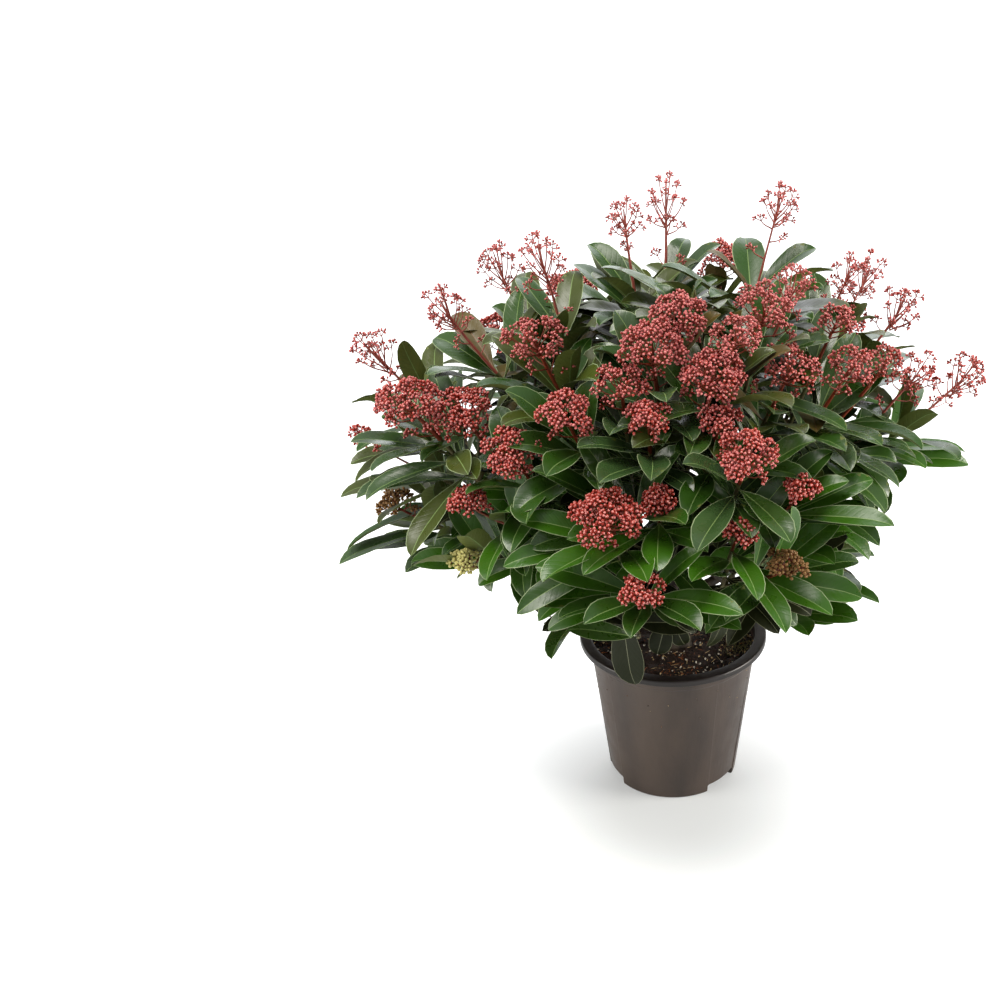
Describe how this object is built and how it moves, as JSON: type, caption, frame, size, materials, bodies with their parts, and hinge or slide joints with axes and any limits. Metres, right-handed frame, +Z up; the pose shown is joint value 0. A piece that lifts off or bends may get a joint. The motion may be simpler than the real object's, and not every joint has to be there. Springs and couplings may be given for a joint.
{
  "type": "potted skimmia shrub",
  "caption": "Young evergreen shrub with whorled glossy leaves and heads of red winter buds, standing in a tapered round nursery pot.",
  "frame": {"origin": "centre of the flat underside of the pot", "axes": "+Z up along the pot's axis, -Y towards the front that the plant shows best, +X to the right seen from the front"},
  "size_m": [0.6231, 0.5379, 0.6573],
  "materials": {
    "pot": "satin moulded plastic, dark taupe, with a darker lip",
    "soil": "moist peat with light flecks",
    "bark": "fine grey-brown bark, greener on young wood",
    "foliage": "glossy evergreen leaves on green and red-brown shoots"
  },
  "bodies": {
    "root": {"bough_back_left": "bark", "bough_back_mid": "bark", "bough_back_right": "bark", "bough_crown_back": "bark", "bough_crown_front": "bark", "bough_crown_right": "bark", "bough_crown_top": "bark", "bough_front_high": "bark", "bough_front_low": "bark", "bough_front_mid": "bark", "bough_left_low": "bark", "bough_left_mid": "bark", "bough_left_out": "bark", "bough_left_top": "bark", "bough_right_high": "bark", "bough_right_low": "bark", "bough_right_mid": "bark", "bough_right_out": "bark", "bough_right_side": "bark", "bough_right_top": "bark", "bough_skirt_back_left": "bark", "bough_skirt_back_right": "bark", "bough_skirt_front": "bark", "bough_skirt_right": "bark", "foliage_back_left": "foliage", "foliage_back_mid": "foliage", "foliage_back_right": "foliage", "foliage_crown_back": "foliage", "foliage_crown_front": "foliage", "foliage_crown_right": "foliage", "foliage_crown_top": "foliage", "foliage_front_high": "foliage", "foliage_front_low": "foliage", "foliage_front_mid": "foliage", "foliage_left_low": "foliage", "foliage_left_mid": "foliage", "foliage_left_out": "foliage", "foliage_left_top": "foliage", "foliage_right_high": "foliage", "foliage_right_low": "foliage", "foliage_right_mid": "foliage", "foliage_right_out": "foliage", "foliage_right_side": "foliage", "foliage_right_top": "foliage", "foliage_skirt_back_left": "foliage", "foliage_skirt_back_right": "foliage", "foliage_skirt_front": "foliage", "foliage_skirt_right": "foliage", "limb_back": "bark", "limb_back_left": "bark", "limb_back_right": "bark", "limb_front": "bark", "limb_front_left": "bark", "limb_front_right": "bark", "limb_leader": "bark", "pot": "pot", "soil": "soil", "trunk": "bark"}
  },
  "joints": []
}
